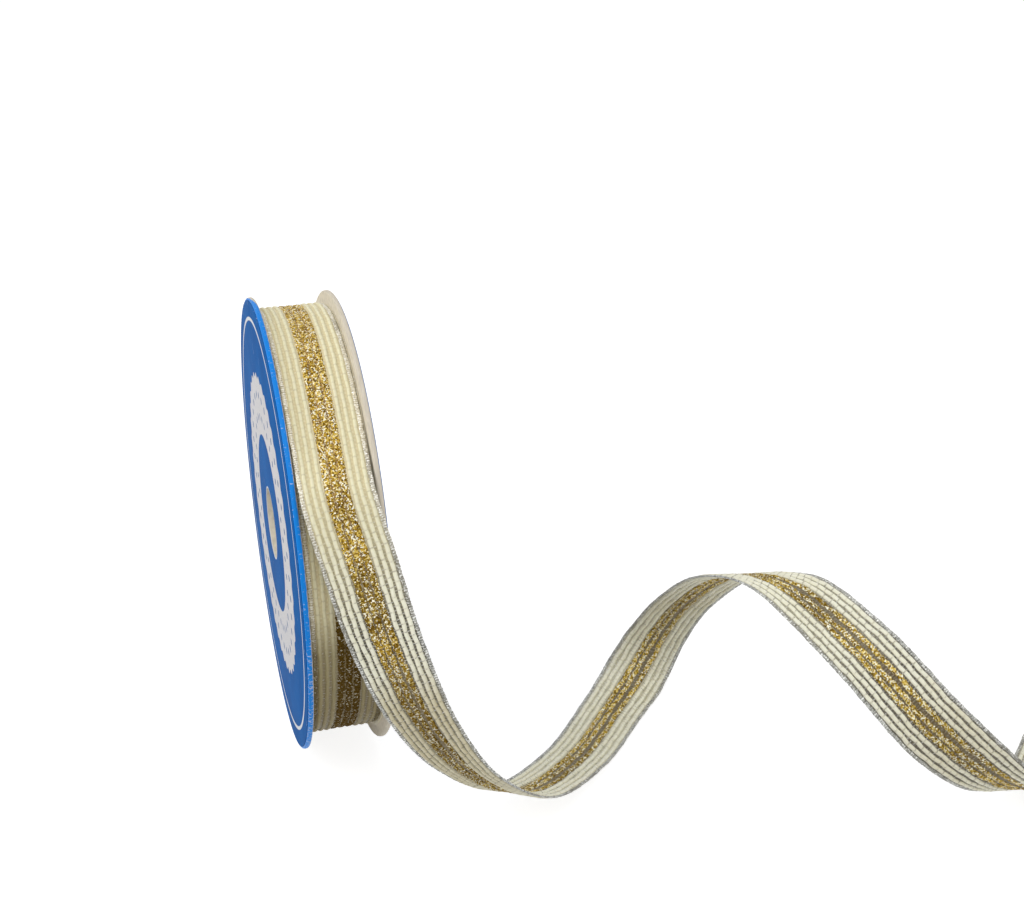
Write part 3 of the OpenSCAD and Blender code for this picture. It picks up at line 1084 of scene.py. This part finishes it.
@dataclass
class Spool:
    """The spool: two board flanges with printed labels, a paper core and the layers wound on it.

    Each rim pair gives the bare share of that rim's thickness, and the share more that is worn off its crest.
    """
    flange_r: float = 54.0
    bore_r: float = 8.5
    inner_x: float = 8.44
    outer_x: float = 9.64
    rim_round: float = 0.45
    rim_faces: int = 192
    rim_segments: int = 3
    rim_slack: float = 0.05
    flat_slack: float = 0.001
    smooth_angle: float = 40.0
    front_rim: Pair = (0.1, 0.8)
    rear_rim: Pair = (1.0, 0.0)
    label_t: float = 0.15
    label_r: float = 53.45
    label_round: float = 0.06
    wound_r: float = 48.05
    wound_seat: float = 10.7
    wound_turns: int = 240
    wound_columns: int = 160
    wound_rows: int = 8
    half_w: float = 8.0
    hem_in: float = 8.16
    hem_out: float = 8.38
    hem_r: float = 50.9
    hem_crown: float = 0.08
    ridge_h: float = 0.5
    gold_ridge: float = 0.8
    edge_ridge: float = 0.5

    def pick_rim(self, piece: Object, rim_r: float) -> None:
        """Selects the edges that run round the rim, in edit mode."""
        data = bmesh.from_edit_mesh(piece.data)
        for edge in data.edges:
            a, b = (corner.co / MM for corner in edge.verts)
            level = abs(a.x - b.x) < self.flat_slack
            edge.select_set(level and min(a.yz.length, b.yz.length) > rim_r - self.rim_slack)
        data.select_flush_mode()
        bmesh.update_edit_mesh(piece.data)

    def disc(self, name: str, outer_r: float, from_x: float, to_x: float, rounding: float) -> Object:
        """A flat disc with the bore through it and a rounded rim.

        Args:
            name: The piece's name.
            outer_r: Radius of its rim.
            from_x, to_x: Places of its two faces along the bore.
            rounding: Radius of the rim's edges.

        Returns:
            The new object, at the origin.
        """
        fresh()
        bpy.ops.mesh.primitive_plane_add(size=MM, rotation=(math.pi / 2, 0, 0))
        disc = bpy.context.active_object
        disc.name = disc.data.name = name
        disc.scale = (to_x - from_x, outer_r - self.bore_r, 1.0)
        disc.location = ((from_x + to_x) / 2 * MM, 0, (self.bore_r + outer_r) / 2 * MM)
        bpy.ops.object.transform_apply(location=True, rotation=True, scale=True)
        bpy.ops.object.mode_set(mode="EDIT")
        bpy.ops.mesh.select_all(action="SELECT")
        bpy.ops.mesh.delete(type="ONLY_FACE")
        bpy.ops.object.mode_set(mode="OBJECT")
        turn = disc.modifiers.new("turn", "SCREW")
        turn.axis = "X"
        turn.angle = FULL_TURN
        turn.steps = turn.render_steps = self.rim_faces
        turn.use_merge_vertices = True
        turn.merge_threshold = MERGE_DISTANCE
        bpy.ops.object.modifier_apply(modifier=turn.name)
        bpy.ops.object.mode_set(mode="EDIT")
        bpy.ops.mesh.select_mode(type="EDGE")
        self.pick_rim(disc, outer_r)
        bpy.ops.mesh.bevel(offset=rounding * MM, segments=self.rim_segments, profile=0.5)
        bpy.ops.mesh.select_all(action="SELECT")
        bpy.ops.mesh.remove_doubles(threshold=MERGE_DISTANCE)
        bpy.ops.mesh.normals_make_consistent(inside=False)
        bpy.ops.object.mode_set(mode="OBJECT")
        bpy.ops.object.shade_smooth_by_angle(angle=math.radians(self.smooth_angle))
        return disc

    def build_flange(self, side: Side) -> None:
        """One board flange and its label."""
        near, far = sorted((side.value * self.inner_x, side.value * self.outer_x))
        flange = self.disc(f"spool_flange_{side.word}", self.flange_r, near, far, self.rim_round)
        rim = self.front_rim if side is Side.FRONT else self.rear_rim
        board = BoardFinish(side, self.flange_r, self.inner_x, self.outer_x - self.inner_x, *rim)
        flange.data.materials.append(board.material())
        set_on(flange, Body.SPOOL, "board", f"{side.word}_flange")
        near, far = sorted((side.value * self.outer_x, side.value * (self.outer_x + self.label_t)))
        label = self.disc(f"spool_label_{side.word}", self.label_r, near, far, self.label_round)
        label.data.materials.append(LabelFinish(side, self.label_r, self.bore_r).material())
        set_on(label, Body.SPOOL, "label", f"{side.word}_label")

    def build_core(self) -> None:
        """The paper tube and the tape on it, which keep their solids."""
        for node, finish in (("core_tube", TubeFinish()), ("anchor_tape", TapeFinish())):
            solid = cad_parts[node]
            solid.data.materials.clear()
            solid.data.materials.append(finish.material())
            LOG.info("dressed %s", node)

    def ridges(self, ribbon: Ribbon, x: Array) -> Array:
        """How far the yarns raise the wound layers at places along the bore, from 0 to 1."""
        ridge = self.edge_ridge * (np.abs(x) > ribbon.mids[-1] - ribbon.edge_w / 2)
        cords = (ribbon.cord_lanes, ribbon.cord_w, 1.0)
        gold = (ribbon.gold_lanes, ribbon.gold_w, self.gold_ridge)
        for lanes, wide, lift in (cords, gold):
            for lane in lanes:
                bulge = np.sqrt(np.clip(1 - ((x - ribbon.mids[lane]) / (wide / 2)) ** 2, 0, 1))
                ridge = np.maximum(ridge, lift * bulge)
        return ridge

    def build_wound(self, ribbon: Ribbon) -> None:
        """The layers under the outer turn, ridged by their yarns; their edges stand up along the flanges."""
        x = np.linspace(-self.half_w, self.half_w, self.wound_columns + 1)
        ridge = self.ridges(ribbon, x)
        outer = self.wound_r - self.ridge_h + self.ridge_h * ridge
        down = np.linspace(1, 0, self.wound_rows + 1)[1:]
        hem_x = np.array([self.hem_out, (self.hem_out + self.hem_in) / 2, self.hem_in, self.hem_in])
        hem_r = np.array([self.hem_r, self.hem_r + self.hem_crown, self.hem_r, outer[0]])
        side_x = np.full(len(down), self.hem_out)
        side_r = self.wound_seat + (self.hem_r - self.wound_seat) * down
        profile_x = np.concatenate([-hem_x, x, hem_x[::-1], side_x, -side_x])
        profile_r = np.concatenate([hem_r, outer, hem_r[::-1], side_r, side_r[::-1]])
        mark = np.concatenate([0 * hem_x, ridge, 0 * hem_x, 0 * side_x, 0 * side_x])
        turns, ring = self.wound_turns, len(profile_x)
        a = FULL_TURN * np.arange(turns)[:, None] / turns
        places = (np.broadcast_to(profile_x, (turns, ring)), profile_r * np.cos(a), profile_r * np.sin(a))
        quads = skin(turns, ring, closed=True).reshape(-1, 4)
        shell = Shell(np.stack(places, -1).reshape(-1, 3), quads, ring)
        shell.marks["ridge"] = np.tile(mark, turns)
        piece = shell.raise_piece("wound_layers", WoundFinish(self.half_w, ribbon.band_half).material())
        set_on(piece, Body.SPOOL, "cream", "wound_ribbon")

    def build(self, ribbon: Ribbon) -> None:
        """Builds the whole spool."""
        for side in Side:
            self.build_flange(side)
        self.build_core()
        self.build_wound(ribbon)


@dataclass(frozen=True)
class Lamp:
    """A round area lamp turned to the object's middle: its place and size in metres, its power in watts."""
    name: str
    place: Place
    size: float
    power: float


@dataclass
class Studio:
    """The table, the light and the camera, in metres and radians."""
    table_z: float = -0.0541
    table_size: float = 6.0
    table_matt: Colour = (0.86, 0.86, 0.86, 1.0)
    table_lit: Colour = (0.4, 0.4, 0.4, 1.0)
    table_glow: float = 0.857
    eye: Place = (-0.04137, -0.33765, 0.1890)
    yaw: float = 0.264
    pitch: float = -0.4686
    lens: float = 56.25
    sensor: float = 36.0
    clip: Pair = (0.01, 20.0)
    middle: Place = (0.06, 0.0, -0.02)
    sky: float = 0.34
    lamps: Tuple[Lamp, ...] = (
        Lamp("key", (-0.15, -0.40, 0.95), 0.7, 4.5),
        Lamp("side", (-0.80, 0.10, 0.60), 0.7, 3.3),
        Lamp("fill", (0.85, -0.40, 0.15), 0.5, 1.6))

    @staticmethod
    def set_up(name: str, data: bpy.types.ID, place: Place, look: Vector) -> Object:
        """Stands a camera or lamp at a place, turned along a direction."""
        made = bpy.data.objects.new(name, data)
        bpy.context.scene.collection.objects.link(made)
        made.location = place
        made.rotation_euler = look.to_track_quat("-Z", "Y").to_euler()
        return made

    def build_camera(self) -> None:
        """The camera at the photograph's place."""
        data = bpy.data.cameras.new("camera")
        data.sensor_fit = "HORIZONTAL"
        data.sensor_width = self.sensor
        data.lens = self.lens
        data.clip_start, data.clip_end = self.clip
        level = math.cos(self.pitch)
        look = Vector((math.sin(self.yaw) * level, math.cos(self.yaw) * level, math.sin(self.pitch)))
        bpy.context.scene.camera = self.set_up("camera", data, self.eye, look)

    def build_table(self) -> None:
        """The white table, which keeps the object's shadow."""
        fresh()
        bpy.ops.mesh.primitive_plane_add(size=self.table_size, location=(0, 0, self.table_z))
        table = bpy.context.active_object
        table.name = "table"
        bpy.ops.object.transform_apply(location=True, rotation=True, scale=True)
        paint = Paint("white_table")
        matt = paint.node("ShaderNodeBsdfDiffuse", feeds={"Color": self.table_matt})
        lit = paint.node("ShaderNodeBsdfDiffuse", feeds={"Color": self.table_lit})
        glow = paint.node("ShaderNodeEmission", feeds={"Color": WHITE, "Strength": self.table_glow})
        white = paint.node("ShaderNodeAddShader", feeds={0: lit, 1: glow})
        both = paint.node("ShaderNodeMixShader", feeds={0: paint.seen(), 1: matt, 2: white})
        paint.node("ShaderNodeOutputMaterial", feeds={"Surface": both})
        table.data.materials.append(paint.material)

    def build_light(self) -> None:
        """A white surround and the lamps."""
        world = bpy.data.worlds.new("white_surround")
        bpy.context.scene.world = world
        world.use_nodes = True
        tree = Tree(world.node_tree)
        dim = tree.node("ShaderNodeBackground", feeds={"Color": WHITE, "Strength": self.sky})
        white = tree.node("ShaderNodeBackground", feeds={"Color": WHITE, "Strength": 1.0})
        both = tree.node("ShaderNodeMixShader", feeds={0: tree.seen(), 1: dim, 2: white})
        tree.node("ShaderNodeOutputWorld", feeds={"Surface": both})
        for lamp in self.lamps:
            data = bpy.data.lights.new(lamp.name, "AREA")
            data.shape = "DISK"
            data.size = lamp.size
            data.energy = lamp.power
            self.set_up(lamp.name, data, lamp.place, Vector(self.middle) - Vector(lamp.place))

    def build(self) -> None:
        """Sets the stage."""
        self.build_camera()
        self.build_table()
        self.build_light()
        bpy.context.scene.view_settings.view_transform = "Standard"
        LOG.info("set the stage")


def main() -> None:
    """Builds the stage, the spool and the ribbon in order."""
    logging.basicConfig(level=logging.INFO, format="%(name)s: %(message)s")
    Studio().build()
    ribbon = Ribbon()
    Spool().build(ribbon)
    ribbon.build()


if __name__ == "__main__":
    main()
